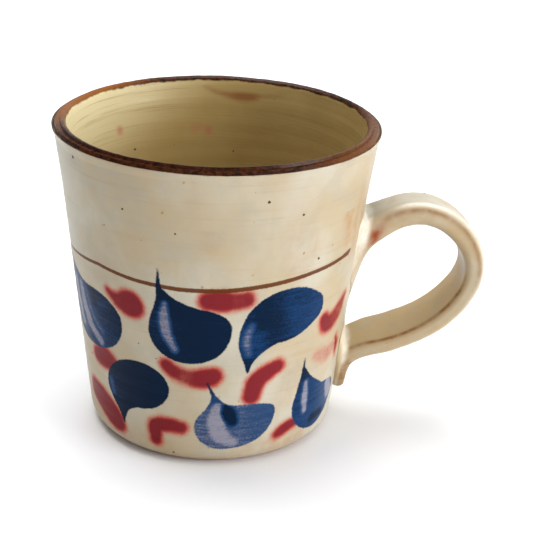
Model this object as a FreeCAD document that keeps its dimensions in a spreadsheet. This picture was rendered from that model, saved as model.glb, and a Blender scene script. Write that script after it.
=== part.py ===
import FreeCAD, Part
import Sketcher
import math
import os
import re

# A thrown stoneware mug with a pulled strap handle.
# Frame: +Z up, origin at the centre of the flat base, the handle towards +X. Millimetres.

os.makedirs("parts", exist_ok=True)
doc = FreeCAD.newDocument("StonewareMug")

# ---------------------------------------------------------------- driving dimensions
sheet = doc.addObject("Spreadsheet::Sheet", "Dimensions")
DIMENSIONS = [
    ("height", 89.5, "table to the top of the lip"),
    ("rim_radius", 45.0, "outside of the everted lip"),
    ("lip_width", 3.7, "lip, outside to inside"),
    ("lip_round", 1.6, "rounding of both edges of the lip"),
    ("lip_depth", 2.0, "upright part of the lip"),
    ("lip_flare", 0.86, "how far the lip stands out beyond the line of the wall"),
    ("neck_drop", 6.0, "from the top of the lip down to the neck"),
    ("neck_round", 6.0, "soft hollow under the lip"),
    ("base_radius", 34.6, "outside of the wall, carried down to the table"),
    ("base_round", 5.0, "rounding of the bottom edge"),
    ("neck_wall", 3.5, "wall with its glaze at the neck"),
    ("foot_wall", 4.8, "wall with its glaze at the floor"),
    ("floor_height", 6.0, "table to the glazed floor inside"),
    ("well_round", 9.0, "curve from the floor into the wall inside"),
    ("glaze", 0.4, "thickness of every glaze coat"),
    ("bare_foot", 1.2, "unglazed strip above the table"),
    ("band_drop", 2.4, "how far the brown band comes down from the top of the lip"),
    ("upper_root", 58.6, "height where the strap's middle leaves the wall"),
    ("lower_root", 22.0, "height where the strap's middle comes back to the wall"),
    ("strap_reach", 33.3, "wall to the middle of the strap at its furthest"),
    ("root_width", 17.6, "strap across, at the wall above"),
    ("grip_width", 16.2, "strap across, over the grip"),
    ("tail_width", 15.0, "strap across, at the end of the tail"),
    ("root_thick", 7.4, "strap thickness at the wall above"),
    ("crest_thick", 5.8, "strap thickness at the top of the loop"),
    ("bend_thick", 4.8, "strap thickness at the outer bend"),
    ("low_thick", 4.1, "strap thickness along the lower arm"),
    ("tail_thick", 2.4, "thickness of the tail pressed down the wall"),
    ("tail_length", 9.6, "tail, below the lower root"),
    ("slip_side", 1.3, "joining slip beside both roots, on the wall"),
    ("slip_over", 0.4, "joining slip above the upper root, on the wall"),
    ("slip_under", 5.0, "joining slip below the upper root, on the wall"),
    ("slip_crotch", 2.6, "joining slip above the lower root, on the wall"),
    ("slip_behind", 1.6, "joining slip below the lower root, behind the tail"),
    ("slip_drop", 1.2, "middle of the lower joining slip, below the lower root"),
    ("slip_reach", 4.6, "how far the joining slip runs out along the strap"),
]
for row, (alias, value, note) in enumerate(DIMENSIONS, start=1):
    sheet.set(f"A{row}", alias)
    sheet.set(f"B{row}", str(value))
    sheet.set(f"C{row}", note)
    sheet.setAlias(f"B{row}", alias)
doc.recompute()


def size(alias):
    return float(getattr(sheet, alias))


# ---------------------------------------------------------------- the thrown cup, as turned profiles
def origin_feature(body, role):
    return next(item for item in body.Origin.OriginFeatures if item.Role == role)


def turned_body(name, corners):
    """A Body revolved from straight runs; each corner is a pair of expressions, radius and height."""
    body = doc.addObject("PartDesign::Body", name)
    sketch = body.newObject("Sketcher::SketchObject", name + "_profile")
    sketch.AttachmentSupport = [(origin_feature(body, "XZ_Plane"), "")]
    sketch.MapMode = "FlatFace"
    points = [FreeCAD.Vector(evaluate(radius), evaluate(height), 0) for radius, height in corners]
    count = len(points)
    for index in range(count):
        sketch.addGeometry(Part.LineSegment(points[index], points[(index + 1) % count]), False)
    for index in range(count):
        sketch.addConstraint(Sketcher.Constraint("Coincident", index, 2, (index + 1) % count, 1))
    for index, (radius, height) in enumerate(corners):
        if radius == "0":
            sketch.addConstraint(Sketcher.Constraint("PointOnObject", index, 1, -2))
        else:
            bind(sketch, "DistanceX", index, points[index].x, radius)
        if height == "0":
            sketch.addConstraint(Sketcher.Constraint("PointOnObject", index, 1, -1))
        else:
            bind(sketch, "DistanceY", index, points[index].y, height)
    turned = body.newObject("PartDesign::Revolution", name + "_turned")
    turned.Profile = sketch
    turned.ReferenceAxis = (sketch, ["V_Axis"])
    turned.Angle = 360.0
    doc.recompute()
    return body


def evaluate(expression):
    value = sheet.evalExpression(expression)
    return float(getattr(value, "Value", value))


def bind(sketch, kind, corner, value, expression):
    number = sketch.addConstraint(Sketcher.Constraint(kind, -1, 1, corner, 1, value))
    sketch.setExpression(f"Constraints[{number}]", in_sheet(expression))


def in_sheet(expression):
    """The same expression, written for an object outside the sheet."""
    return re.sub(r"\b([a-z]+_?[a-z]+)\b", r"Dimensions.\1", expression)


def ring_edges(shape, radius, height):
    """Names of the circular edges about Z that have this radius and height."""
    names = []
    for number, edge in enumerate(shape.Edges, start=1):
        curve = edge.Curve
        if not isinstance(curve, Part.Circle):
            continue
        if abs(curve.Radius - radius) < 0.01 and abs(curve.Center.z - height) < 0.01:
            names.append(f"Edge{number}")
    return names


def round_ring(body, name, radius, height, rounding):
    """A fillet on the ring of the body at this radius and height, all three given as expressions."""
    base = body.Tip
    rings = ring_edges(base.Shape, evaluate(radius), evaluate(height))
    if not rings:
        raise RuntimeError(f"{body.Name}: no ring to round for {name}")
    fillet = body.newObject("PartDesign::Fillet", f"{body.Name}_{name}")
    fillet.Base = (base, rings)
    fillet.setExpression("Radius", in_sheet(rounding))
    doc.recompute()
    if not fillet.isValid():
        raise RuntimeError(f"{fillet.Name}: the rounding failed")


def cup(name, coat):
    """The cup as a solid of revolution, drawn in by the given coat on every side but the base."""
    wall_slope = "(rim_radius - lip_flare - base_radius) / (height - lip_depth)"
    neck_outside = f"base_radius + {wall_slope} * (height - neck_drop)"
    rim = f"rim_radius - {coat}"
    neck = f"{neck_outside} - {coat}"
    base = f"base_radius - {coat}"
    top = f"height - {coat}"
    mouth = f"rim_radius - lip_width + {coat}"
    throat = f"{neck_outside} - neck_wall + {coat}"
    well = f"base_radius + {wall_slope} * floor_height - foot_wall + {coat}"
    floor = f"floor_height - {coat}"
    corners = [
        ("0", "0"),
        (base, "0"),
        (neck, "height - neck_drop"),
        (rim, "height - lip_depth"),
        (rim, top),
        (mouth, top),
        (throat, "height - neck_drop"),
        (well, floor),
        ("0", floor),
    ]
    body = turned_body(name, corners)
    round_ring(body, "base_edge", base, "0", f"base_round - {coat}")
    round_ring(body, "neck_outside", neck, "height - neck_drop", "neck_round")
    round_ring(body, "lip_outside", rim, top, f"lip_round - {coat}")
    round_ring(body, "lip_inside", mouth, top, f"lip_round - {coat}")
    round_ring(body, "well", well, floor, f"well_round + {coat}")
    return body


clay_cup = cup("cup_body", "glaze")
glazed_cup = cup("glazed_cup", "0")


# ---------------------------------------------------------------- the path of the pulled strap
def wall_radius(height):
    """Outside of the glazed wall at a height, on the straight line from the base to the lip."""
    spread = size("rim_radius") - size("lip_flare") - size("base_radius")
    return size("base_radius") + spread * height / (size("height") - size("lip_depth"))


def loop_point(out, rise):
    """A place on the strap's middle: out is a share of the reach, rise a share of the root spacing."""
    height = size("lower_root") + rise * (size("upper_root") - size("lower_root"))
    return FreeCAD.Vector(wall_radius(height) + out * size("strap_reach"), 0, height)


def on_wall(height, stand_off):
    return FreeCAD.Vector(wall_radius(height) + stand_off, 0, height)


TAIL_FLATTENS = 0.42  # share of the tail's length where it lies down on the wall
TAIL_THINS = 0.72  # share of the tail's length where it has its final thickness
TAIL_PRESS = 0.5  # how deep the tail is pressed into the wall's surface
tail_top = size("lower_root") - TAIL_FLATTENS * size("tail_length")
tail_mid = size("lower_root") - TAIL_THINS * size("tail_length")
tail_end = size("lower_root") - size("tail_length") - size("tail_thick") / 2
tail_stand = size("tail_thick") / 2 - TAIL_PRESS

# Each station: its place, the strap's width and thickness there, and its twist in degrees.
STATIONS = [
    (on_wall(size("upper_root") - 0.6, -size("neck_wall") / 3), "root_width", "root_thick", -4),
    (on_wall(size("upper_root"), 0.8), "root_width", "root_thick", -5),
    (loop_point(0.19, 1.078), "grip_width", "(root_thick + crest_thick) / 2", -7),
    (loop_point(0.44, 1.155), "grip_width", "crest_thick", -8),
    (loop_point(0.772, 1.048), "grip_width", "crest_thick", -6),
    (loop_point(1.00, 0.730), "grip_width", "bend_thick", -1),
    (loop_point(0.886, 0.402), "grip_width", "(bend_thick + low_thick) / 2", -2),
    (loop_point(0.594, 0.182), "grip_width", "low_thick", -4),
    (loop_point(0.290, 0.072), "grip_width", "low_thick", -4),
    (on_wall(size("lower_root") + 0.2, 4.0), "(grip_width + tail_width) / 2", "low_thick", -2),
    (on_wall(tail_top, tail_stand + 0.3), "tail_width", "(low_thick + tail_thick) / 2", 0),
    (on_wall(tail_mid, tail_stand), "tail_width", "tail_thick", 0),
    (on_wall(tail_end, tail_stand - 0.3), "tail_width - 1.5", "tail_thick", 0),
]
path = Part.BSplineCurve()
path.interpolate([place for place, width, thickness, twist in STATIONS])


def station_placement(place, twist):
    """Across the strap is local X, out of its outer face local Y, along the path local Z."""
    along = path.tangent(path.parameter(place))[0]
    across = FreeCAD.Vector(0, 1, 0)
    outward = along.cross(across)
    turn = FreeCAD.Rotation(across, outward, along, "ZXY")
    return FreeCAD.Placement(place, FreeCAD.Rotation(along, twist).multiply(turn))


def rounded_bar(name, placement, width, thickness, rounding):
    """A sketch of a bar's section: width by thickness, with four equal round corners."""
    half_width = evaluate(width) / 2
    half_thick = evaluate(thickness) / 2
    radius = evaluate(rounding)
    flat_x = half_width - radius
    flat_y = half_thick - radius
    vector = FreeCAD.Vector
    normal = vector(0, 0, 1)
    sides = [
        (vector(-flat_x, -half_thick, 0), vector(flat_x, -half_thick, 0)),
        (vector(half_width, -flat_y, 0), vector(half_width, flat_y, 0)),
        (vector(flat_x, half_thick, 0), vector(-flat_x, half_thick, 0)),
        (vector(-half_width, flat_y, 0), vector(-half_width, -flat_y, 0)),
    ]
    corners = [(flat_x, -flat_y, 270), (flat_x, flat_y, 0), (-flat_x, flat_y, 90), (-flat_x, -flat_y, 180)]
    sketch = doc.addObject("Sketcher::SketchObject", name)
    sketch.Placement = placement
    for (start, end), (centre_x, centre_y, angle) in zip(sides, corners):
        circle = Part.Circle(vector(centre_x, centre_y, 0), normal, radius)
        sketch.addGeometry(Part.LineSegment(start, end), False)
        sketch.addGeometry(Part.ArcOfCircle(circle, math.radians(angle), math.radians(angle + 90)), False)
    for side in range(4):
        line, arc, after = 2 * side, 2 * side + 1, (2 * side + 2) % 8
        sketch.addConstraint(Sketcher.Constraint("Tangent", line, 2, arc, 1))
        sketch.addConstraint(Sketcher.Constraint("Tangent", arc, 2, after, 1))
    sketch.addConstraint(Sketcher.Constraint("Horizontal", 0))
    sketch.addConstraint(Sketcher.Constraint("Vertical", 2))
    sketch.addConstraint(Sketcher.Constraint("Horizontal", 4))
    sketch.addConstraint(Sketcher.Constraint("Vertical", 6))
    for arc in (3, 5, 7):
        sketch.addConstraint(Sketcher.Constraint("Equal", 1, arc))
    sketch.addConstraint(Sketcher.Constraint("Symmetric", 0, 1, 4, 1, -1, 1))
    across = sketch.addConstraint(Sketcher.Constraint("DistanceX", 6, 1, 2, 2, 2 * half_width))
    through = sketch.addConstraint(Sketcher.Constraint("DistanceY", 0, 2, 4, 1, 2 * half_thick))
    corner = sketch.addConstraint(Sketcher.Constraint("Radius", 1, radius))
    sketch.setExpression(f"Constraints[{across}]", in_sheet(width))
    sketch.setExpression(f"Constraints[{through}]", in_sheet(thickness))
    sketch.setExpression(f"Constraints[{corner}]", in_sheet(rounding))
    return sketch


def loft(name, sections):
    """A solid through the sections, in order."""
    solid = doc.addObject("Part::Loft", name)
    solid.Sections = sections
    solid.Solid = True
    solid.Ruled = False
    solid.Closed = False
    doc.recompute()
    return solid


STRAP_ROUND = 0.36  # rounding of the strap's edges, as a share of its thickness


def strap(name, coat):
    """The whole strap, made larger all round by the given coat."""
    sections = []
    for index, (place, width, thickness, twist) in enumerate(STATIONS):
        placement = station_placement(place, twist)
        rounding = f"{STRAP_ROUND} * ({thickness}) + {coat}"
        across = f"{width} + 2 * {coat}"
        through = f"{thickness} + 2 * {coat}"
        sections.append(rounded_bar(f"{name}_section_{index}", placement, across, through, rounding))
    return loft(name, sections)


strap_clay = strap("strap_clay", "0")
strap_glazed = strap("strap_glazed", "glaze")


# ---------------------------------------------------------------- the joining slip around each root
# Each ring of slip: how far out along the strap, as a share of the slip's reach, and its share of the spread.
COLLAR_RINGS = [(-0.35, 1.0), (0.0, 1.0), (0.33, 0.42), (1.0, -0.10)]
COLLAR_ROUND = 0.40  # rounding of the slip's outline, as a share of the strap's thickness


def collar(name, root, arm, strap_size, spread, coat):
    """Slip smoothed around a root: spread wide on the wall, feathered out along the arm of the strap."""
    width, thickness = strap_size
    above, below = spread
    across = FreeCAD.Vector(0, 1, 0)
    sections = []
    for index, (along, share) in enumerate(COLLAR_RINGS):
        lean = min(max(along, 0), 1)
        facing = FreeCAD.Vector(1, 0, 0) * (1 - lean) + arm * lean
        facing.normalize()
        upward = facing.cross(across) * (1 if facing.cross(across).z > 0 else -1)
        turn = FreeCAD.Rotation(across, FreeCAD.Vector(), facing, "ZXY")
        rise = share * (evaluate(above) - evaluate(below)) / 2
        step = along * size("slip_reach")
        place = root + (arm if along > 0 else FreeCAD.Vector(1, 0, 0)) * step + upward * rise
        wide = f"{width} + 2 * ({share} * slip_side + {coat})"
        deep = f"{thickness} + {share} * ({above} + {below}) + 2 * {coat}"
        rounding = f"{COLLAR_ROUND} * ({thickness}) + {coat}"
        placement = FreeCAD.Placement(place, turn)
        sections.append(rounded_bar(f"{name}_section_{index}", placement, wide, deep, rounding))
    return loft(name, sections)


def arm_from(inner, outer):
    """Unit vector along the strap, away from the wall."""
    arm = STATIONS[outer][0] - STATIONS[inner][0]
    return arm.normalize()


upper_arm = arm_from(1, 2)
lower_arm = arm_from(9, 8)
upper_point = on_wall(size("upper_root"), 0)
lower_point = on_wall(size("lower_root") - size("slip_drop"), 0)
UPPER_ROOT = (upper_point, upper_arm, ("root_width", "root_thick"), ("slip_over", "slip_under"))
LOWER_ROOT = (lower_point, lower_arm, ("tail_width", "low_thick"), ("slip_crotch", "slip_behind"))
upper_collar = collar("upper_collar", *UPPER_ROOT, "0")
lower_collar = collar("lower_collar", *LOWER_ROOT, "0")
upper_collar_glazed = collar("upper_collar_glazed", *UPPER_ROOT, "glaze")
lower_collar_glazed = collar("lower_collar_glazed", *LOWER_ROOT, "glaze")


# ---------------------------------------------------------------- pieces cut to each other
def cut(name, base, tool):
    result = doc.addObject("Part::Cut", name)
    result.Base = base
    result.Tool = tool
    doc.recompute()
    return result


def common(name, base, tool):
    result = doc.addObject("Part::Common", name)
    result.Base = base
    result.Tool = tool
    doc.recompute()
    return result


def fuse(name, shapes):
    result = doc.addObject("Part::MultiFuse", name)
    result.Shapes = shapes
    result.Refine = False
    doc.recompute()
    return result


def middle_of_wall(name):
    """A cone that runs up inside the thickness of the wall, to part the inside from the outside."""
    cone = doc.addObject("Part::Cone", name)
    cone.setExpression("Radius1", in_sheet("base_radius - foot_wall / 2"))
    cone.setExpression("Radius2", in_sheet("rim_radius - lip_flare - lip_width / 3"))
    cone.setExpression("Height", in_sheet("height - band_drop"))
    doc.recompute()
    return cone


wall_core = middle_of_wall("wall_core")
filled_cup = fuse("filled_cup", [clay_cup, wall_core])
handle = cut("handle", strap_clay, filled_cup)
collars = fuse("collars", [upper_collar, lower_collar])
handle_clay = fuse("handle_clay", [strap_clay, collars])
upper_bare = cut("upper_bare", upper_collar, strap_clay)
upper_slip = cut("upper_slip", upper_bare, filled_cup)
lower_bare = cut("lower_bare", lower_collar, strap_clay)
lower_slip = cut("lower_slip", lower_bare, filled_cup)

coat = cut("coat", glazed_cup, clay_cup)


def slab(name, radius, bottom, top):
    """A cylinder on the axis between two heights, as expressions."""
    cylinder = doc.addObject("Part::Cylinder", name)
    cylinder.setExpression("Radius", in_sheet(radius))
    cylinder.setExpression("Height", in_sheet(f"{top} - ({bottom})"))
    cylinder.setExpression("Placement.Base.z", in_sheet(bottom))
    doc.recompute()
    return cylinder


rim_slab = slab("rim_slab", "2 * rim_radius", "height - band_drop", "2 * height")
wall_slab = slab("wall_slab", "2 * rim_radius", "bare_foot", "height - band_drop")
rim_band = common("rim_band", coat, rim_slab)
wall_coat = common("wall_coat", coat, wall_slab)
liner_glaze = common("liner_glaze", wall_coat, wall_core)
outer_coat = cut("outer_coat", wall_coat, wall_core)
outer_glaze = cut("outer_glaze", outer_coat, handle_clay)
glazed_handle = fuse("glazed_handle", [strap_glazed, upper_collar_glazed, lower_collar_glazed])
filled_glazed_cup = fuse("filled_glazed_cup", [glazed_cup, wall_core])
handle_coat = cut("handle_coat", glazed_handle, handle_clay)
handle_glaze = cut("handle_glaze", handle_coat, filled_glazed_cup)

# ---------------------------------------------------------------- the pieces of the mug
PIECES = {
    "cup_body": clay_cup,
    "handle": handle,
    "upper_slip": upper_slip,
    "lower_slip": lower_slip,
    "liner_glaze": liner_glaze,
    "outer_glaze": outer_glaze,
    "handle_glaze": handle_glaze,
    "rim_band": rim_band,
}
for item in doc.Objects:
    if "Invalid" in item.State or "Error" in item.State:
        raise RuntimeError(f"{item.Name} failed: {item.State}")
for label, item in PIECES.items():
    item.Label = label
    shape = item.Shape
    if shape.isNull() or not shape.isValid():
        raise RuntimeError(f"{label}: the shape is null or not valid")
    if len(shape.Solids) != 1:
        raise RuntimeError(f"{label}: {len(shape.Solids)} solids, not one")
for label, item in PIECES.items():
    item.Shape.exportStep(f"parts/{label}.step")
    print(label, round(item.Shape.Volume / 1000, 2), "cm3")
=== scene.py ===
import math

import bmesh
import bpy
import numpy as np
from mathutils import Matrix, Vector, noise


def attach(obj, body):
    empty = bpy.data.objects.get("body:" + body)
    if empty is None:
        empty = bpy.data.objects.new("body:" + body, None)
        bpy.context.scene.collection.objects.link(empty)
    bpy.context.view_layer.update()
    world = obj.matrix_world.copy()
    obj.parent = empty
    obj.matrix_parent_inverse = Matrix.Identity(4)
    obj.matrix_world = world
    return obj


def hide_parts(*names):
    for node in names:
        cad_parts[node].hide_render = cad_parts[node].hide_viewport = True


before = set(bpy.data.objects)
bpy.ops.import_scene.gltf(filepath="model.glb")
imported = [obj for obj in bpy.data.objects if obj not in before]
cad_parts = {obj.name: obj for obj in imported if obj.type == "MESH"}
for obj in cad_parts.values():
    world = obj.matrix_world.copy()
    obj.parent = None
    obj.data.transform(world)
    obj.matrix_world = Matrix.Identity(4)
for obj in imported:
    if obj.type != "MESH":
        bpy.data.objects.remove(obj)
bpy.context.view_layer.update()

# ------------------------ camera
# A long lens looks down at the mug from in front, with the handle to the right.
# The mug stands left of the middle of the frame, and the camera is held a little askew.
VIEW_FOCAL = 97.94  # mm, on a sensor 36 mm wide
VIEW_ELEVATION = math.radians(23.227)
VIEW_DISTANCE = 0.4133
VIEW_SWING = math.radians(-2.071)
VIEW_TILT = math.radians(-1.365)


def placed(name, data):
    """An object that holds this data, put in the scene."""
    made = bpy.data.objects.new(name, data)
    bpy.context.scene.collection.objects.link(made)
    return made


aim = Vector((0, 0, 0.045))
forward = Vector((0, math.cos(VIEW_ELEVATION), -math.sin(VIEW_ELEVATION)))
upward = Vector((0, math.sin(VIEW_ELEVATION), math.cos(VIEW_ELEVATION)))
camera_data = bpy.data.cameras.new("camera")
camera_data.lens = VIEW_FOCAL
camera_data.sensor_width = 36
camera_data.clip_start = 0.01
camera = placed("camera", camera_data)
level = Matrix((Vector((1, 0, 0)), upward, -forward)).transposed().to_4x4()
swing = Matrix.Rotation(VIEW_SWING, 4, upward)
tilt = Matrix.Rotation(VIEW_TILT, 4, forward)
camera.matrix_world = Matrix.Translation(aim - forward * VIEW_DISTANCE) @ tilt @ swing @ level
bpy.context.scene.camera = camera

# ------------------------ table and light
# A matt white table runs back as far as the eye sees, in a white room that is darker on the left.
# A high softbox behind to the left throws a short shadow; a low one to the right lights the wall and the strap.
TABLE_RADIUS = 3.0
TABLE_WHITE = "#F6F7F9"
TABLE_GREY = "#F1F2F4"
ROOM_LEFT, ROOM_RIGHT = 0.22, 1.04  # how bright the room is on either side


def shade(colour):
    """An sRGB hex value as linear red, green, blue and a full alpha."""
    parts = [int(colour[place : place + 2], 16) / 255 for place in (1, 3, 5)]
    return [part / 12.92 if part <= 0.04045 else ((part + 0.055) / 1.055) ** 2.4 for part in parts] + [1.0]


def node(tree, kind, inputs, output=0, **settings):
    """Add a node with its settings; its inputs are sockets, hex colours or numbers. Gives back one output."""
    made = tree.nodes.new("ShaderNode" + kind)
    for name, value in settings.items():
        setattr(made, name, value)
    for socket, value in inputs.items():
        if isinstance(value, bpy.types.NodeSocket):
            tree.links.new(value, made.inputs[socket])
        else:
            made.inputs[socket].default_value = shade(value) if isinstance(value, str) else value
    return made.outputs[output] if len(made.outputs) else made


def new_material(name):
    """A material with an empty tree, and the piece's own coordinates in that tree."""
    material = bpy.data.materials.new(name)
    material.use_nodes = True
    material.node_tree.nodes.clear()
    return material, material.node_tree, node(material.node_tree, "TexCoord", {}, "Object")


# Sockets go by number: Mix takes a share at 0 and two colours at 6 and 7; MapRange takes a number at 0, which
# runs from 1 to 2, and gives 3 to 4, or 0 to 1.
COLOURS = {"output": 2, "data_type": "RGBA"}
SOFT_STEP = {"interpolation_type": "SMOOTHSTEP"}


def finish(tree, colour, relief, rise, values):
    """Close a tree: this colour, and a relief this many metres high, on one shader with these values."""
    bumps = node(tree, "Bump", {"Height": relief, "Distance": rise})
    shader = node(tree, "BsdfPrincipled", {"Base Color": colour, "Normal": bumps, **values})
    node(tree, "OutputMaterial", {"Surface": shader})


def mesh_from(build, name):
    """The built shape as a mesh."""
    mesh = bpy.data.meshes.new(name)
    build.to_mesh(mesh)
    build.free()
    return mesh


table_build = bmesh.new()
bmesh.ops.create_circle(table_build, cap_ends=True, segments=96, radius=TABLE_RADIUS)
table = placed("table", mesh_from(table_build, "table"))
table_paint, tree, place = new_material("white_paint_matt")
grain = node(tree, "TexNoise", {"Vector": place, "Scale": 2500, "Detail": 2})
tone = node(tree, "Mix", {0: grain, 6: TABLE_GREY, 7: TABLE_WHITE}, **COLOURS)
finish(tree, tone, grain, 0.00002, {"Roughness": 0.9, "Specular IOR Level": 0.2})
table.data.materials.append(table_paint)

room = bpy.data.worlds.new("white_room")
bpy.context.scene.world = room
room.use_nodes = True
room.node_tree.nodes.clear()
facing = node(room.node_tree, "TexCoord", {}, "Generated")
sideways = node(room.node_tree, "SeparateXYZ", {0: facing})
strength = node(room.node_tree, "MapRange", {0: sideways, 1: -1.0, 2: 1.0, 3: ROOM_LEFT, 4: ROOM_RIGHT})
node(room.node_tree, "OutputWorld", {0: node(room.node_tree, "Background", {0: "#FFFFFF", 1: strength})})
bpy.context.scene.view_settings.view_transform = "Standard"


def softbox(name, place, size, power):
    """A square softbox that looks at the middle of the mug."""
    light_data = bpy.data.lights.new(name, "AREA")
    light_data.size = size
    light_data.energy = power
    light = placed(name, light_data)
    light.location = place
    light.rotation_euler = (aim - Vector(place)).to_track_quat("-Z", "Y").to_euler()


softbox("high_softbox", (-0.18, 0.28, 1.18), 0.95, 14.0)
softbox("low_softbox", (1.15, -0.62, 0.42), 0.75, 13.5)

# ------------------------ the clay cup
# Red-brown stoneware, thrown on the wheel: rings from the fingers climb the wall, and the mouth is not quite round.
# A wire cut it off the wheel and left arcs underneath. Fired, the clay is matt and shows bare only at the foot.
LIP_RADIUS = 45.0  # mm, outside
LIP_WIDTH = 3.7
LIP_ROUND = 1.6
LIP_DEPTH = 2.0
LIP_FLARE = 0.86
TOP = 89.5
NECK_DROP = 6.0
NECK_ROUND = 6.0
NECK_WALL = 3.5
BASE_RADIUS = 34.6
BASE_ROUND = 5.0
FOOT_WALL = 4.8
FLOOR = 6.0
WELL_ROUND = 9.0
BARE_FOOT = 1.2
COAT = 0.4  # the glaze on the clay
LEAN = (LIP_RADIUS - LIP_FLARE - BASE_RADIUS) / (TOP - LIP_DEPTH)
THROAT_ROUND = 3.0
HAND_DEPTH = 0.12  # of the rings the fingers leave
RING_SPACING, FINE_SPACING = 5.2, 1.9
MOUTH_OVAL = 1.2
LIP_DIP, LIP_RIPPLE = 0.16, 0.07
PULLED_FROM = (-16, 46)  # the wire was pulled from here, so its arcs centre on it
CUT_SPACING = 2.2  # between those arcs
CUT_DEPTH = 0.10
CREASE = 0.7  # radians; a sharper fold than this keeps its edge
CLAY = "#9A6C4C"
CLAY_DARK = "#744B33"
CLAY_SAND = "#C09A78"

mouth = LIP_RADIUS - LIP_WIDTH
BAND_EDGE = TOP - 2.4  # where the brown band's glaze ends, inside and out


def wall_at(height):
    """Outside radius of the wall at a height, in millimetres."""
    return BASE_RADIUS + LEAN * height


def foot_at(angle, inset):
    """A point on the rounding under the wall: 0 faces down, a quarter turn faces out."""
    height = BASE_ROUND * (1 - math.cos(angle))
    return Vector((wall_at(height) - BASE_ROUND * (1 - math.sin(angle)) - inset, height))


def rounded(corners, spacing):
    """Points along straight runs whose corners are rounded; each corner is radius, height and rounding."""
    points = []
    for index, (radius, height, rounding) in enumerate(corners):
        corner = Vector((radius, height))
        if rounding == 0:
            points.append(corner)
            continue
        back = (Vector(corners[index - 1][:2]) - corner).normalized()
        ahead = (Vector(corners[index + 1][:2]) - corner).normalized()
        half = back.angle(ahead) / 2
        start = corner + back * rounding / math.tan(half)
        centre = corner + (back + ahead).normalized() * rounding / math.sin(half)
        turn = math.pi - 2 * half
        side = 1 if (centre - start).cross(ahead) < 0 else -1
        parts = max(3, math.ceil(rounding * turn / spacing))
        for part in range(parts + 1):
            arm = (start - centre).copy()
            arm.rotate(Matrix.Rotation(side * turn * part / parts, 2))
            points.append(centre + arm)
    run = [points[0]]
    for point in points[1:]:
        gap = (point - run[-1]).length
        parts = max(1, math.ceil(gap / spacing))
        first = run[-1]
        run += [first.lerp(point, part / parts) for part in range(1, parts + 1)]
    return run


def turned(name, face, back, steps):
    """A shape turned on the wheel: its seen face and its hidden back, both as runs of radius and height."""
    build = bmesh.new()
    loop = face + back
    points = [build.verts.new((0, -point.x / 1000, point.y / 1000)) for point in loop]
    closes = abs(loop[0].x) > 1e-6
    pairs = list(zip(points, points[1:])) + ([(points[-1], points[0])] if closes else [])
    edges = [build.edges.new(pair) for pair in pairs]
    whole_turn = {"axis": (0, 0, 1), "cent": (0, 0, 0), "angle": 2 * math.pi}
    bmesh.ops.spin(build, geom=points + edges, steps=steps, use_merge=True, **whole_turn)
    bmesh.ops.remove_doubles(build, verts=build.verts, dist=1e-6)
    bmesh.ops.recalc_face_normals(build, faces=build.faces)
    for edge in build.edges:
        edge.smooth = edge.calc_face_angle(0) < CREASE
    mesh = mesh_from(build, name)
    mesh.polygons.foreach_set("use_smooth", [True] * len(mesh.polygons))
    return placed(name, mesh)


def places_of(mesh):
    """The mesh's points as an array in millimetres."""
    flat = np.empty(len(mesh.vertices) * 3)
    mesh.vertices.foreach_get("co", flat)
    return flat.reshape(-1, 3) * 1000


def put_back(mesh, places):
    """Give the mesh these points, in millimetres."""
    mesh.vertices.foreach_set("co", (places / 1000).ravel())
    mesh.update()


def hand_thrown(places):
    """Points of the cup drawn in by what hands leave: rings that climb, an oval mouth, dips along the lip."""
    turn = np.arctan2(places[:, 0], -places[:, 1])
    height = places[:, 2]
    rings = 0.5 + 0.5 * np.sin(height * 2 * math.pi / RING_SPACING + turn + 0.8 * np.sin(2 * turn + height * 0.11))
    fine = 0.5 + 0.5 * np.sin(height * 2 * math.pi / FINE_SPACING + turn * 3 + 1.3 * np.sin(turn + height * 0.23))
    oval = 0.5 + 0.5 * np.cos(2 * turn + 0.9)
    high = np.clip((height - 30) / (TOP - 30), 0, 1)
    inset = HAND_DEPTH * (0.5 * rings + 0.2 * fine + 0.8 * oval) + MOUTH_OVAL * (high * np.cos(turn)) ** 2
    radius = np.hypot(places[:, 0], places[:, 1])
    share = 1 - inset * np.clip(radius / 10, 0, 1) / np.maximum(radius, 1)
    moved = places.copy()
    moved[:, :2] *= share[:, None]
    lift = np.clip((height - BAND_EDGE) / (TOP - BAND_EDGE), 0, 1)
    for index in np.flatnonzero(lift > 0):
        facing = Vector((math.sin(turn[index]), math.cos(turn[index]), 2.0))
        dips = LIP_DIP * (noise.noise(facing * 3.5) + 0.6) + LIP_RIPPLE * (noise.noise(facing * 16) + 0.6)
        moved[index, 2] -= lift[index] * dips
    return moved


neck = wall_at(TOP - NECK_DROP)
throat = neck - NECK_WALL
well = wall_at(FLOOR) - FOOT_WALL
seam_in = mouth + (throat - mouth) * (TOP - BAND_EDGE) / NECK_DROP
seam_out = neck + (LIP_RADIUS - neck) * (BAND_EDGE - TOP + NECK_DROP) / (NECK_DROP - LIP_DEPTH)
bare_angle = math.acos(1 - BARE_FOOT / BASE_ROUND)

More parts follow.
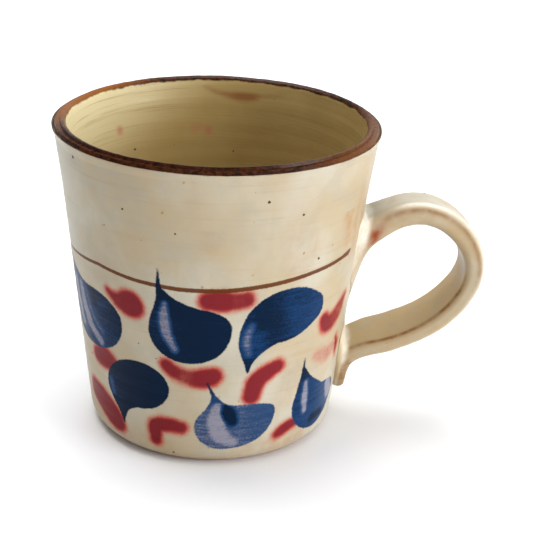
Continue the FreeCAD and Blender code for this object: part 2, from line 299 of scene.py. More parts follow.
underside = rounded([(0, 0, 0), (wall_at(0) - BASE_ROUND, 0, 0)], 0.55)
bare = [foot_at(bare_angle * part / 6, 0.12) for part in range(1, 7)]
hidden = [foot_at(bare_angle + (math.pi / 2 - bare_angle) * part / 5, COAT) for part in range(6)]
hidden += rounded(
    [
        (wall_at(8) - COAT, 8, 0),
        (neck - COAT, TOP - NECK_DROP, NECK_ROUND),
        (LIP_RADIUS - COAT, TOP - LIP_DEPTH, 0),
        (LIP_RADIUS - COAT, TOP - COAT, LIP_ROUND - COAT),
        (mouth + COAT, TOP - COAT, LIP_ROUND - COAT),
        (throat + COAT, TOP - NECK_DROP, THROAT_ROUND),
        (well + COAT, FLOOR - COAT, WELL_ROUND),
        (0, FLOOR - COAT, 0),
    ],
    1.8,
)
cup = turned("clay_cup", underside + bare, hidden, 256)
places = hand_thrown(places_of(cup.data))
under = np.clip((0.6 - places[:, 2]) / 0.6, 0, 1)
from_pull = np.hypot(places[:, 0] - PULLED_FROM[0], places[:, 1] - PULLED_FROM[1])
arcs = np.sin(from_pull * 2 * math.pi / CUT_SPACING + 1.5 * np.sin(places[:, 0] / 9))
places[:, 2] += under * CUT_DEPTH * (0.5 + 0.5 * arcs)
put_back(cup.data, places)

clay, tree, place = new_material("fired_stoneware_clay")
patches = node(tree, "TexNoise", {"Vector": place, "Scale": 110, "Detail": 5})
sand = node(tree, "TexNoise", {"Vector": place, "Scale": 1400, "Detail": 3, "Roughness": 0.6})
coarse = node(tree, "MapRange", {0: sand, 1: 0.60, 2: 0.72}, **SOFT_STEP)
tone = node(tree, "Mix", {0: patches, 6: CLAY_DARK, 7: CLAY}, **COLOURS)
tone = node(tree, "Mix", {0: coarse, 6: tone, 7: CLAY_SAND}, **COLOURS)
finish(tree, tone, sand, 0.00008, {"Roughness": 0.82, "Specular IOR Level": 0.25})
cup.data.materials.append(clay)
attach(cup, "root")
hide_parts("cup_body")

# ------------------------ the liner glaze
# A clear glaze poured round the inside: it pools olive and glassy over the buff slip, and the throwing
# lines show through it. It runs from the middle of the floor up to the brown lip.
LINER_LIT_PALE = "#D9CDA3"
LINER_OLIVE = "#B49C66"
LINER_DEEP = "#937A4A"
LINER_SPECK = "#40301C"
LINER_PINK = "#B4705A"
LINER_STAIN = "#8A5C34"
GLAZE_BACK = COAT - 0.07  # from the glaze's face to its back, on the clay
SPIRAL_SPACING, SPIRAL_DEPTH = 4.5, 0.16  # what the fingers leave in the floor
# Strokes of colour: each place is degrees round from the front, height, half width and how strong it is there.
DRIP = [
    (186, 86.6, 0.3, 0.3), (181, 85, 0.4, 0.6), (176, 84.2, 0.6, 0.8), (171, 83.9, 1, 1), (165.5, 84, 1, 1),
    (162, 84.3, 0.5, 0.7),
]
DRIP_TAIL = [(162, 84.2, 0.4, 0.5), (156, 85, 0.4, 0.35), (150, 86, 0.3, 0.2)]
PINKS = [
    [(-133, 76, 0.9, 0.8), (-133, 76.4, 0.9, 0.8)],
    [(-176, 73, 0.9, 0.8), (-176, 73.5, 0.9, 0.8)],
    [(-170, 74, 1.4, 0.35), (-172, 74.4, 1.2, 0.3)],
]


def smooth_stroke(stroke, parts=6):
    """More brush places along a stroke, carried smoothly through the given ones."""
    knots = np.array([stroke[0], *stroke, stroke[-1]], float)
    rows = []
    for index in range(1, len(knots) - 2):
        before, first, second, after = knots[index - 1 : index + 3]
        for share in np.arange(parts) / parts:
            straight = first + 0.5 * share * (second - before)
            bowed = straight + share**2 * (before - 2.5 * first + 2 * second - 0.5 * after)
            rows.append(bowed + 0.5 * share**3 * (3 * first - 3 * second + after - before))
    return np.array(rows + [knots[-1]])


def brushed(strokes, places, spread=3.0):
    """How deep each point lies inside the strokes, in millimetres, and the load of colour there."""
    around = np.degrees(np.arctan2(places[:, 0], -places[:, 1]))
    height = places[:, 2]
    per_degree = np.radians(np.hypot(places[:, 0], places[:, 1]))
    inside_by = np.full(len(places), -spread)
    load = np.zeros(len(places))
    for stroke in strokes:
        rows = smooth_stroke(stroke)
        middle = rows[:, 0].mean()
        offset = (around - middle + 180) % 360 - 180
        widest = rows[:, 2].max() + spread
        level = (height > rows[:, 1].min() - widest) & (height < rows[:, 1].max() + widest)
        chosen = np.flatnonzero(level & (np.abs(offset) < np.ptp(rows[:, 0]) / 2 + widest / 0.6 + 8))
        if len(chosen) == 0:
            continue
        here = np.stack([offset[chosen] * per_degree[chosen], height[chosen]], axis=1)
        deepest = np.full(len(chosen), -1e3)
        weight_sum = np.zeros(len(chosen))
        load_sum = np.zeros(len(chosen))
        for start, end in zip(rows, rows[1:]):
            first = np.stack([(start[0] - middle) * per_degree[chosen], np.full(len(chosen), start[1])], axis=1)
            run = np.stack([(end[0] - start[0]) * per_degree[chosen], np.full(len(chosen), end[1] - start[1])], axis=1)
            along = np.clip(((here - first) * run).sum(1) / np.maximum((run**2).sum(1), 1e-9), 0, 1)
            away = np.hypot(*(here - first - run * along[:, None]).T)
            depth = start[2] + (end[2] - start[2]) * along - away
            deepest = np.maximum(deepest, depth)
            weight = np.exp(np.clip(depth, -20, 20) / 0.9)
            weight_sum += weight
            load_sum += weight * (start[3] + (end[3] - start[3]) * along)
        better = deepest > inside_by[chosen]
        inside_by[chosen[better]] = deepest[better]
        load[chosen[better]] = (load_sum / weight_sum)[better]
    return inside_by, load


def eased(depth, low, high):
    """From 0 at low to 1 at high, with a soft start and end."""
    share = np.clip((depth - low) / (high - low), 0, 1)
    return share * share * (3 - 2 * share)


def carry(mesh, name, numbers):
    """A number at each point of the mesh, for its material to read."""
    layer = mesh.attributes.new(name, "FLOAT", "POINT")
    layer.data.foreach_set("value", numbers.astype(np.float32))


def specks(tree, place, spacing, radius, share):
    """Small ragged marks: one place in each cell of this spacing, of which only a share carries a mark."""
    ragged = node(tree, "TexNoise", {"Vector": place, "Scale": 1400, "Detail": 2}, "Color")
    bent = node(tree, "VectorMath", {0: ragged, 1: (0.0005,) * 3, 2: place}, operation="MULTIPLY_ADD")
    scale = {"Vector": bent, "Scale": 1000 / spacing}
    middle = node(tree, "TexVoronoi", scale)
    chosen = node(tree, "SeparateColor", {0: node(tree, "TexVoronoi", scale, "Color")})
    size = node(tree, "MapRange", {0: chosen, 1: 1 - share, 2: 1.0, 4: radius / spacing})
    gap = node(tree, "Math", {0: size, 1: middle}, operation="SUBTRACT")
    return node(tree, "MapRange", {0: gap, 1: -0.02, 2: 0.02}, **SOFT_STEP)


throat_bend = (throat, TOP - NECK_DROP, THROAT_ROUND)
inside = rounded([(0, FLOOR, 0), (well, FLOOR, WELL_ROUND), throat_bend, (seam_in, BAND_EDGE, 0)], 0.9)
well_back = (well + GLAZE_BACK, FLOOR - GLAZE_BACK, WELL_ROUND)
inside_back = rounded([(seam_in + GLAZE_BACK, BAND_EDGE, 0), well_back, (0, FLOOR - GLAZE_BACK, 0)], 4.0)
liner = turned("liner_glaze_coat", inside, inside_back, 360)
still = places_of(liner.data)
places = hand_thrown(still)
reach = np.hypot(places[:, 0], places[:, 1])
turn = np.arctan2(places[:, 0], -places[:, 1])
on_floor = np.clip((well - 4 - reach) / 6, 0, 1) * (places[:, 2] < FLOOR + 3) * (places[:, 2] > FLOOR - 0.15)
spiral = np.sin(reach * 2 * math.pi / SPIRAL_SPACING - turn)
places[:, 2] += on_floor * SPIRAL_DEPTH * (spiral - 1) * np.clip(reach / 4, 0, 1)
put_back(liner.data, places)
drip_depth, drip_load = brushed([DRIP, DRIP_TAIL], still)
pink_depth, pink_load = brushed(PINKS, still)
carry(liner.data, "drip", drip_load * eased(drip_depth, -0.9, 0.5))
carry(liner.data, "pink", pink_load * eased(pink_depth, -1.0, 0.8))


def pooled_ground(tree, place):
    """Slip under pooled glaze, the same down the inside and on the lip's inner side: its colour, with painted light on
    the left, and its lines.
    """
    lit_side = node(tree, "VectorMath", {0: place, 1: (-0.8, 0.0, 1.0)}, "Value", operation="DOT_PRODUCT")
    drawn = node(tree, "Mapping", {"Vector": place, "Scale": (26, 26, 1300)})
    lines = node(tree, "TexNoise", {"Vector": drawn, "Scale": 1, "Detail": 4, "Roughness": 0.6})
    patches = node(tree, "TexNoise", {"Vector": place, "Scale": 45, "Detail": 3})
    # painted light: paler on the left and up towards the lip, where the light from the right falls on the inside wall
    pale_and_painted_light = node(tree, "MapRange", {0: lit_side, 1: 0.080, 2: 0.120}, **SOFT_STEP)
    scored = node(tree, "MapRange", {0: lines, 1: 0.52, 2: 0.72, 4: 0.5}, **SOFT_STEP)
    tone = node(tree, "Mix", {0: patches, 6: LINER_DEEP, 7: LINER_OLIVE}, **COLOURS)
    dark = specks(tree, place, 6.0, 0.6, 0.30)
    for share, colour in ((pale_and_painted_light, LINER_LIT_PALE), (scored, LINER_DEEP), (dark, LINER_SPECK)):
        tone = node(tree, "Mix", {0: share, 6: tone, 7: colour}, **COLOURS)
    return tone, lines


liner_material, tree, place = new_material("clear_glaze_pooled_olive")
tone, lines = pooled_ground(tree, place)
for layer, colour in (("pink", LINER_PINK), ("drip", LINER_STAIN)):
    share = node(tree, "Attribute", {}, "Fac", attribute_name=layer)
    tone = node(tree, "Mix", {0: share, 6: tone, 7: colour}, **COLOURS)
swell = node(tree, "TexNoise", {"Vector": place, "Scale": 140, "Detail": 3})
relief = node(tree, "Math", {0: lines, 1: 0.6, 2: swell}, operation="MULTIPLY_ADD")
finish(tree, tone, relief, 0.00010, {"Roughness": 0.24, "Specular IOR Level": 0.35})
liner.data.materials.append(liner_material)
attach(liner, "root")
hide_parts("liner_glaze")

# ------------------------ the outer glaze and the painting under it
# Pale slip on the wall, painted with a brush in cobalt blue, soft iron red and a thin brown line, then
# dipped in a clear glaze that stops just above the table. Drops and dabs go round the cup in two rows.
CREAM = "#BAB4A4"
CREAM_WARM = "#B0A084"
CREAM_GREY = "#A29E90"
COBALT = "#0C3159"
COBALT_DEEP = "#021830"
COBALT_THIN = "#2A4265"
COBALT_PALE = "#858390"
IRON_RED = "#A4302C"
IRON_RED_DEEP = "#740C1C"
IRON_RED_THIN = "#B4705A"
LINE_BROWN = "#592B08"
STAIN_BROWN = "#A0713A"
SPECK_BROWN = "#45301F"
STEPS_ROUND = 512
PAINT_TOP = 62  # the mesh is finest up to here, where the painting is

# The blue drops, each laid in one or two strokes.
DROPS = [
    [(-20.8, 60.4, 0.3, 1), (-20.8, 55.5, 0.8, 1), (-19.9, 51, 1.7, 1), (-17.6, 43, 5.5, 0.85), (-13, 41, 7.7, 0.95),
     (-5.5, 41.7, 8.1, 1), (0.8, 43.8, 4.7, 0.95)],
    [(-20.3, 54.5, 0.8, 1), (-17.2, 50.4, 2.6, 1), (-12, 46.8, 4.4, 1), (-6, 44.6, 5.3, 1)],
    [(14.6, 30.2, 0.4, 1), (14.8, 34, 1.6, 0.9), (17, 40, 4.7, 0.72), (23.5, 45.2, 7.5, 0.95), (32, 46.4, 7.9, 0.78),
     (41.3, 46.4, 4.9, 0.72)],
    [(-41.9, 8.8, 0.4, 1), (-42.8, 12.8, 1.4, 1), (-43.6, 19.6, 4.6, 0.85), (-37, 22.4, 7.2, 1), (-29.5, 23.5, 7.2, 1),
     (-23.2, 24.2, 3.6, 0.9)],
    [(-42, 10.5, 0.7, 1), (-40.5, 14.5, 1.6, 1), (-36, 18.5, 3.4, 1)],
    [(-1.6, 27, 0.4, 0.9), (1.2, 22.6, 0.8, 0.75), (1.4, 17.8, 2.6, 0.42), (2.2, 12.6, 5.9, 0.34), (10, 12.9, 7, 0.36),
     (18, 14, 6, 0.42), (24.3, 16.4, 3, 0.5)],
    [(1.5, 22.6, 0.8, 0.7), (4.2, 19.8, 1.5, 0.5), (8, 17.4, 2.8, 0.5), (14, 16.6, 3.2, 0.5)],
    [(41.8, 30.6, 0.3, 1), (42.2, 26, 0.8, 1), (43.6, 20.8, 2.6, 0.8), (47, 14.4, 5.6, 0.74), (55, 12.4, 7, 0.66),
     (64, 13.8, 4.8, 0.4)],
    [(42.2, 27, 0.8, 1), (45.5, 22.6, 1.9, 0.8), (50.5, 19.2, 2.6, 0.7), (56, 16.8, 2.6, 0.6)],
    [(-84, 58, 0.4, 0.8), (-80, 53, 1.3, 0.7), (-74, 47.5, 3.2, 0.55), (-68, 40, 8.6, 0.5), (-60, 38.6, 9.3, 0.62),
     (-51.5, 39.4, 8.4, 0.85), (-44, 41.2, 3.8, 0.9)],
    [(-81, 8, 0.4, 1), (-84, 13, 1.6, 0.95), (-90, 18.5, 5, 0.7), (-99, 20.5, 7.2, 0.8), (-108, 20, 5.6, 0.85)],
    [(-98, 60, 0.3, 1), (-99, 54, 1.2, 1), (-103, 46, 5.2, 0.7), (-111, 41.5, 7.8, 0.95), (-120, 42, 6.5, 0.9)],
    [(-99, 54, 1.2, 1), (-103, 49.5, 2.6, 0.9), (-110, 45.5, 4.6, 0.95)],
    [(-126, 28.5, 0.4, 1), (-127.5, 23, 1.3, 1), (-130, 16, 4.6, 0.5), (-137, 13, 6.9, 0.45), (-146, 14.5, 5.2, 0.5)],
    [(-140, 31.5, 0.4, 1), (-140.5, 36, 1.8, 1), (-145, 42.5, 5.4, 0.8), (-154, 46.2, 7.6, 0.95),
     (-164, 46.5, 5.6, 0.8)],
    [(-166, 9, 0.4, 1), (-167.5, 13.5, 1.5, 1), (-171, 20, 5, 0.8), (-179, 23, 7.2, 1), (-187, 23.5, 4.6, 0.9)],
    [(-176, 59.5, 0.3, 1), (-178, 54, 1.1, 1), (-183, 46, 5, 0.8), (-192, 42, 7.6, 0.9), (-201, 43, 5.6, 1)],
    [(-178, 54, 1.1, 1), (-183, 50, 2.5, 0.95), (-191, 46, 4.4, 0.95)],
    [(-199, 27.5, 0.4, 1), (-201, 22.5, 1.1, 1), (-204, 15.5, 4.6, 0.5), (-212, 12.8, 6.8, 0.45),
     (-221, 14.5, 4.9, 0.5)],
    [(-214, 31.5, 0.4, 1), (-215.5, 36, 1.7, 0.95), (-220, 43, 5.2, 0.8), (-229, 46, 7.3, 0.9),
     (-237.5, 45.5, 4.9, 0.8)],
    [(-234, 9.5, 0.4, 1), (-236, 14, 1.4, 1), (-240, 20, 4.6, 0.8), (-247, 21.5, 6.2, 0.9), (-254, 20, 4.2, 0.85)],
]
# Places where the brush was lifted or the colour wiped thin inside a drop.
WIPES = [
    [(-18.4, 50.4, 0.8, 0.75), (-18.9, 46.5, 1.6, 0.76), (-18, 41.5, 1.6, 0.74), (-14.8, 36.8, 1.1, 0.7)],
    [(15.2, 44.4, 0.9, 0.5), (13.4, 40.5, 1.2, 0.6), (14.6, 36, 0.9, 0.5)],
    [(-48.4, 21, 0.9, 0.55), (-47.4, 17.4, 0.7, 0.5)],
    [(2.6, 19.6, 1.3, 0.6), (2.2, 14.5, 2.2, 0.75), (4.6, 10.2, 2.2, 0.75), (10, 7.8, 1.4, 0.6)],
    [(44.6, 22.4, 0.9, 0.75), (45.2, 17.4, 1.4, 0.85), (46.2, 12.6, 1, 0.75)],
    [(-66, 46.5, 1.2, 0.6), (-65, 41, 1.9, 0.75), (-60, 35, 2, 0.8), (-53, 32, 1.6, 0.75)],
    [(-73, 46, 1, 0.8), (-72, 40, 1.6, 0.8), (-69, 34, 1.4, 0.7)],
    [(-61, 44, 0.7, 0.4), (-57, 38.5, 0.9, 0.5), (-51, 35.4, 0.8, 0.5)],
    [(64, 17.5, 1.8, 0.9), (67, 13.5, 2, 0.95)],
    [(-105, 46, 1.2, 0.7), (-108, 39, 1.4, 0.7)],
    [(-132, 15, 1.5, 0.7), (-136, 9.8, 1.2, 0.6)],
    [(-146.5, 43, 1.2, 0.6), (-144, 38.5, 0.8, 0.5)],
    [(-185, 46, 1.3, 0.7), (-188, 39, 1.3, 0.7)],
    [(-206, 15, 1.6, 0.8), (-210, 9.8, 1.3, 0.7)],
    [(-221.5, 42, 1.1, 0.6), (-219, 38, 0.8, 0.5)],
]
# Where a drop holds a darker pool.
POOLS = [
    [(6.4, 19.6, 1, 1), (7.8, 17.4, 2, 1), (9.4, 14.8, 1.6, 0.95)],
    [(-58, 48, 1.6, 0.8), (-55, 44, 1.8, 0.8)],
    [(-63, 33, 1.2, 0.5), (-56, 29.6, 1.2, 0.5)],
    [(53, 8.5, 1.6, 0.8), (60, 8.8, 1.3, 0.8)],
    [(-206, 20, 1.6, 0.8), (-209, 17, 1.4, 0.8)],
]
# The red dabs, laid between the drops with a wet brush, so their edges are soft.
DABS = [
    [(-45, 49.8, 0.9, 0.8), (-42.2, 48.6, 1.5, 0.85), (-38.5, 47.8, 2.8, 0.55), (-34, 48, 4, 0.95),
     (-32.2, 47.6, 3.5, 0.8)],
    [(-1.8, 52.3, 2.7, 0.7), (2.5, 52.3, 3, 1), (8, 52.2, 2.9, 0.6), (12.2, 52.6, 2.7, 0.75)],
    [(-18.6, 31.8, 1.9, 0.9), (-14.8, 29.8, 2.4, 0.7), (-8.5, 28.4, 2.9, 0.55), (-1.8, 28.8, 3, 1),
     (0.8, 29.6, 2.5, 0.8)],
    [(27.4, 30.8, 2.3, 0.8), (23, 29.4, 2.6, 0.95), (18.6, 26.8, 2.8, 1), (17, 22.4, 2.5, 0.85)],
    [(-13, 12.2, 2.1, 0.75), (-18, 12.4, 2.3, 0.85), (-24.4, 11.4, 2.3, 1), (-24.8, 6.8, 1.8, 0.9)],
    [(40.4, 10.4, 1.6, 0.85), (35.4, 9.6, 1.9, 1), (31, 8, 1.6, 0.6)],
    [(66.5, 44.5, 1.4, 0.6), (62.5, 41.5, 3, 0.55), (58, 39.2, 3.3, 0.55), (53.5, 38.8, 2.9, 0.8),
     (50.8, 40.8, 2.1, 1)],
    [(50, 29.8, 2.4, 0.32), (56, 28.6, 2.8, 0.34), (62, 29, 2.4, 0.36)],
    [(64.5, 31.8, 1, 0.6), (66.5, 28.6, 1.6, 0.7), (67.5, 26, 1, 0.5)],
    [(-56.5, 26.6, 3, 0.7), (-50.5, 27.2, 3.6, 0.8), (-45.5, 26.6, 2.7, 0.5)],
    [(-64, 13.4, 3.6, 0.8), (-57, 12, 4.3, 0.95), (-50, 9.4, 4, 0.9), (-46, 7.4, 2.8, 0.7)],
    [(-92, 45.4, 2.5, 0.8), (-87, 43, 3.1, 0.95), (-83, 40, 2.1, 0.7)],
    [(-84, 30, 2.3, 0.7), (-91, 30.2, 2.9, 0.95), (-98, 32, 2.1, 0.7)],
    [(-111, 31, 2.2, 0.8), (-117, 28.4, 2.7, 1), (-122, 31, 2, 0.7)],
    [(-112, 9.6, 2, 0.7), (-119, 9.2, 2.6, 0.9), (-123, 12.4, 1.9, 0.8)],
    [(-130, 49.8, 2.5, 0.8), (-135, 46, 2.9, 0.95), (-133, 41, 2, 0.7)],
    [(-148, 29.8, 2.3, 0.8), (-155, 27.6, 2.9, 1), (-162, 29.4, 2.2, 0.8)],
    [(-152, 9.4, 2, 0.75), (-158, 10, 2.5, 0.9)],
    [(-164, 54.5, 2, 0.6), (-170, 52, 2.7, 0.9), (-172, 47, 1.9, 0.7)],
    [(-190, 31.5, 2.1, 0.8), (-197, 30.4, 2.8, 0.95), (-205, 33, 2, 0.7)],
    [(-186, 9.4, 2, 0.8), (-192, 10.6, 2.6, 0.95), (-196, 14, 1.8, 0.7)],
    [(-209, 52.4, 2.3, 0.7), (-215, 51.4, 2.8, 0.95), (-221, 53, 2, 0.7)],
    [(-226, 31.4, 2.3, 0.8), (-232, 29, 2.7, 0.95), (-238, 31, 1.9, 0.7)],
    [(-226, 9, 1.8, 0.7), (-230.5, 11, 2.2, 0.9)],
    [(-245, 46, 2.1, 0.8), (-250, 43, 2.7, 0.95), (-253, 38, 1.9, 0.7)],
]
# The brown line round the waist: degrees round, height, half its width. It stops short of the strap on both sides.
WAIST = [
    (-110, 55.6, 0.42), (-74, 54.7, 0.42), (-66, 55.3, 0.44), (-49, 56.4, 0.50), (-31, 55.6, 0.56), (-13, 55.2, 0.62),
    (4, 55.4, 0.64), (21, 56.3, 0.62), (41, 57.4, 0.60), (56, 58, 0.60), (60, 58.3, 0.80), (62.5, 58.4, 0.95),
    (64.5, 58.7, 0.3),
]
WAIST_BEHIND = [
    (116, 57.6, 0.2), (118, 57.5, 0.7), (124, 57.2, 0.42), (150, 56.4, 0.48), (180, 55.4, 0.42), (215, 55.9, 0.48),
    (250, 55.6, 0.36),
]
# Where iron has bled through the glaze by the strap's roots and at the lip, and where the glaze ran thick.
BLEEDS = [
    [(71, 72, 1.6, 0.35), (73, 66, 2.2, 0.65), (76, 60, 2.4, 0.75), (75, 55, 1.6, 0.5)],
    [(56, 77, 1, 0.4), (58, 70, 1.4, 0.5), (60, 63, 1.4, 0.35)],
    [(64, 70, 0.9, 0.4), (66, 62, 0.9, 0.45), (67, 57, 0.8, 0.4)],
    [(-12, 83.4, 1, 0.35), (-8, 84.3, 0.8, 0.3)],
    [(104, 64, 1.8, 0.5), (107, 57, 1.6, 0.4)],
    [(30, 68, 3, 0.16), (33, 60, 3.4, 0.18), (38, 66, 2.4, 0.12)],
    [(-2, 74, 1, 0.2), (-1, 66, 1.8, 0.14)],
    [(45, 6, 2.2, 0.3), (30, 4.6, 2.2, 0.3), (10, 4, 1.6, 0.2)],
    [(36, 27, 4, 0.2), (33, 20, 3.6, 0.18)],
    [(-40, 5, 1.8, 0.2), (-20, 4.2, 1.6, 0.2)],
]

outside = [foot_at(bare_angle + (math.pi / 2 - bare_angle) * part / 9, 0) for part in range(10)]
outside += rounded([(wall_at(BASE_ROUND), BASE_ROUND, 0), (wall_at(PAINT_TOP), PAINT_TOP, 0)], 0.56)[1:]
lip_foot = (LIP_RADIUS, TOP - LIP_DEPTH, 0)
neck_bend = (neck, TOP - NECK_DROP, NECK_ROUND)
outside_top = rounded([(wall_at(PAINT_TOP), PAINT_TOP, 0), neck_bend, lip_foot], 1.0)
outside_top = [point for point in outside_top[1:] if point.y < BAND_EDGE - 0.2] + [Vector((seam_out, BAND_EDGE))]
outside_back = [Vector((seam_out - GLAZE_BACK, BAND_EDGE))]
outside_back += [Vector((wall_at(height) - GLAZE_BACK, height)) for height in (60, 30, 8, BASE_ROUND)]
outside_back += [foot_at(bare_angle + (math.pi / 2 - bare_angle) * part / 4, GLAZE_BACK) for part in (3, 2, 1, 0)]
outer = turned("outer_glaze_coat", outside + outside_top, outside_back, STEPS_ROUND)
still = places_of(outer.data)
drop_depth, drop_load = brushed(DROPS, still)
wipe_depth, wipe_load = brushed(WIPES, still)
pool_depth, pool_load = brushed(POOLS, still)
dab_depth, dab_load = brushed(DABS, still, 5.0)
bleed_depth, bleed_load = brushed(BLEEDS, still, 6.0)
put_back(outer.data, hand_thrown(still))

around = np.degrees(np.arctan2(still[:, 0], -still[:, 1]))
waist_depth = np.full(len(still), -3.0)
for line in (WAIST, WAIST_BEHIND):
    knots = np.array(line)
    spot = (around - knots[0, 0]) % 360 + knots[0, 0]
    on_line = spot <= knots[-1, 0]
    aside = np.abs(still[:, 2] - np.interp(spot, knots[:, 0], knots[:, 1]))
    gap = np.interp(spot, knots[:, 0], knots[:, 2]) - aside
    waist_depth = np.where(on_line, np.maximum(waist_depth, gap), waist_depth)
thin_and_lit = wipe_load * eased(wipe_depth, -0.8, 0.8)
pooled = pool_load * eased(pool_depth, -0.8, 0.8)
carry(outer.data, "drop_depth", drop_depth)
left = drop_load * (1 - thin_and_lit)
carry(outer.data, "drop_load", np.clip(left + pooled * (1 - left), 0, 1))
carry(outer.data, "dab", eased(dab_depth, -2.5, 1.7) * np.minimum(1, 0.1 + 1.1 * dab_load))
carry(outer.data, "dab_core", eased(dab_depth, -0.5, 1.5) * dab_load)
carry(outer.data, "waist_depth", np.clip(waist_depth, -3, 1))
foot_stain = 0.75 * eased(2.6 - still[:, 2], 0, 1.3)
carry(outer.data, "bleed", np.maximum(foot_stain, bleed_load * eased(bleed_depth, -3.5, 1.8)))


def cream_ground(tree, place):
    """Pale slip under clear glaze, the same on the wall, the lip and the strap: its colour and its relief."""
    patches = node(tree, "TexNoise", {"Vector": place, "Scale": 38, "Detail": 4})
    clouds = node(tree, "TexNoise", {"Vector": place, "Scale": 95, "Detail": 4, "Roughness": 0.6})
    drawn = node(tree, "Mapping", {"Vector": place, "Scale": (23, 23, 770)})
    strokes = node(tree, "TexNoise", {"Vector": drawn, "Scale": 1, "Detail": 5, "Roughness": 0.65})
    hanging = node(tree, "Mapping", {"Vector": place, "Scale": (260, 260, 20)})
    runs = node(tree, "TexNoise", {"Vector": hanging, "Scale": 1, "Detail": 4, "Roughness": 0.6})
    warm = node(tree, "MapRange", {0: patches, 1: 0.35, 2: 0.70}, **SOFT_STEP)
    grey = node(tree, "MapRange", {0: clouds, 1: 0.44, 2: 0.70, 4: 0.45}, **SOFT_STEP)
    scored = node(tree, "MapRange", {0: strokes, 1: 0.52, 2: 0.78, 4: 0.22}, **SOFT_STEP)
    hung = node(tree, "MapRange", {0: runs, 1: 0.54, 2: 0.76, 4: 0.42}, **SOFT_STEP)
    faint = node(tree, "Math", {0: specks(tree, place, 2.6, 0.42, 0.22), 1: 0.7}, operation="MULTIPLY")
    dark = specks(tree, place, 4.6, 0.48, 0.36)
    tone = node(tree, "Mix", {0: warm, 6: CREAM_WARM, 7: CREAM}, **COLOURS)
    layers = ((grey, CREAM_GREY), (scored, STAIN_BROWN), (hung, CREAM_WARM), (faint, STAIN_BROWN), (dark, SPECK_BROWN))
    for share, colour in layers:
        tone = node(tree, "Mix", {0: share, 6: tone, 7: colour}, **COLOURS)
    return tone, node(tree, "Math", {0: strokes, 1: 0.5, 2: clouds}, operation="MULTIPLY_ADD")


WALL_GLOSS = {"Roughness": 0.33, "Specular IOR Level": 0.05}
painted, tree, place = new_material("clear_glaze_over_brushwork")
tone, relief = cream_ground(tree, place)
fine = node(tree, "TexNoise", {"Vector": place, "Scale": 1800, "Detail": 3, "Roughness": 0.65})
coarse = node(tree, "TexNoise", {"Vector": place, "Scale": 420, "Detail": 3})
carried = {name: node(tree, "Attribute", {}, "Fac", attribute_name=name) for name in outer.data.attributes.keys()}
# iron stains
stain = node(tree, "MapRange", {0: coarse, 1: 0.25, 2: 0.65, 3: 0.4, 4: 1.1}, **SOFT_STEP)
stain = node(tree, "Math", {0: stain, 1: carried["bleed"]}, operation="MULTIPLY")
tone = node(tree, "Mix", {0: stain, 6: tone, 7: STAIN_BROWN}, **COLOURS)
# iron red, soft at its edge and darker where the brush stood
dab = node(tree, "Math", {0: coarse, 1: 0.30, 2: carried["dab"]}, operation="MULTIPLY_ADD")
dab = node(tree, "Math", {0: fine, 1: 0.26, 2: dab}, operation="MULTIPLY_ADD")
core = node(tree, "MapRange", {0: carried["dab_core"], 1: 0.06, 2: 0.72}, **SOFT_STEP)
body = node(tree, "MapRange", {0: dab, 1: 0.45, 2: 1.15}, **SOFT_STEP)
cover = node(tree, "MapRange", {0: dab, 1: 0.36, 2: 1.05, 4: 0.97}, **SOFT_STEP)
red = node(tree, "Mix", {0: core, 6: IRON_RED, 7: IRON_RED_DEEP}, **COLOURS)
red = node(tree, "Mix", {0: body, 6: IRON_RED_THIN, 7: red}, **COLOURS)
tone = node(tree, "Mix", {0: cover, 6: tone, 7: red}, **COLOURS)
# the thin brown line, put on while the cup turned
line_edge = node(tree, "Math", {0: fine, 1: 0.45, 2: carried["waist_depth"]}, operation="MULTIPLY_ADD")
cover = node(tree, "MapRange", {0: line_edge, 1: 0.04, 2: 0.38, 4: 0.95}, **SOFT_STEP)
tone = node(tree, "Mix", {0: cover, 6: tone, 7: LINE_BROWN}, **COLOURS)
# cobalt, crisp and a little grainy at its edge, paler where it lies thin
drawn = node(tree, "Mapping", {"Vector": place, "Scale": (110, 110, 1100)})
streaks = node(tree, "TexNoise", {"Vector": drawn, "Scale": 1, "Detail": 4, "Roughness": 0.7})
load = node(tree, "Math", {0: fine, 1: 0.42, 2: carried["drop_load"]}, operation="MULTIPLY_ADD")
load = node(tree, "Math", {0: streaks, 1: 0.55, 2: load}, operation="MULTIPLY_ADD")
blue = COBALT_PALE
for low, high, colour in ((0.54, 0.94, COBALT_THIN), (0.90, 1.24, COBALT), (1.18, 1.42, COBALT_DEEP)):
    share = node(tree, "MapRange", {0: load, 1: low, 2: high}, **SOFT_STEP)
    blue = node(tree, "Mix", {0: share, 6: blue, 7: colour}, **COLOURS)
edge = node(tree, "Math", {0: fine, 1: 0.7, 2: carried["drop_depth"]}, operation="MULTIPLY_ADD")
cover = node(tree, "MapRange", {0: edge, 1: 0.19, 2: 0.65}, **SOFT_STEP)
tone = node(tree, "Mix", {0: cover, 6: tone, 7: blue}, **COLOURS)
finish(tree, tone, relief, 0.00012, WALL_GLOSS)
outer.data.materials.append(painted)
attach(outer, "root")
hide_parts("outer_glaze")

# ------------------------ the clay strap
# The strap is pulled from a lump of clay with wet fingers, which leave a shallow trough and two ribs,
# then bent over and pressed on at both roots. It hides in its glaze.
UPPER_ROOT = 58.6
LOWER_ROOT = 22.0
STRAP_REACH = 33.3
ROOT_WIDTH, GRIP_WIDTH, TAIL_WIDTH = 17.6, 16.2, 15.0
ROOT_THICK, CREST_THICK, BEND_THICK, LOW_THICK, TAIL_THICK = 7.4, 5.8, 4.8, 4.1, 3.2
TAIL_LENGTH = 9.6
TAIL_STAND = TAIL_THICK / 2 - 0.5
EDGE_ROUND = 0.36  # of the thickness
FACE_SHARE = 0.30  # of a quarter of the ring, spent on half of a broad face
SIDE_SHARE = 0.14  # and on half of a side
TROUGH_DEPTH, RIB_HEIGHT = 0.30, 0.10
TIP_RUN = 1.5  # over which the tail's end is rounded off
TAIL_HUG = 0.6  # how much of the wall's curve the tail takes


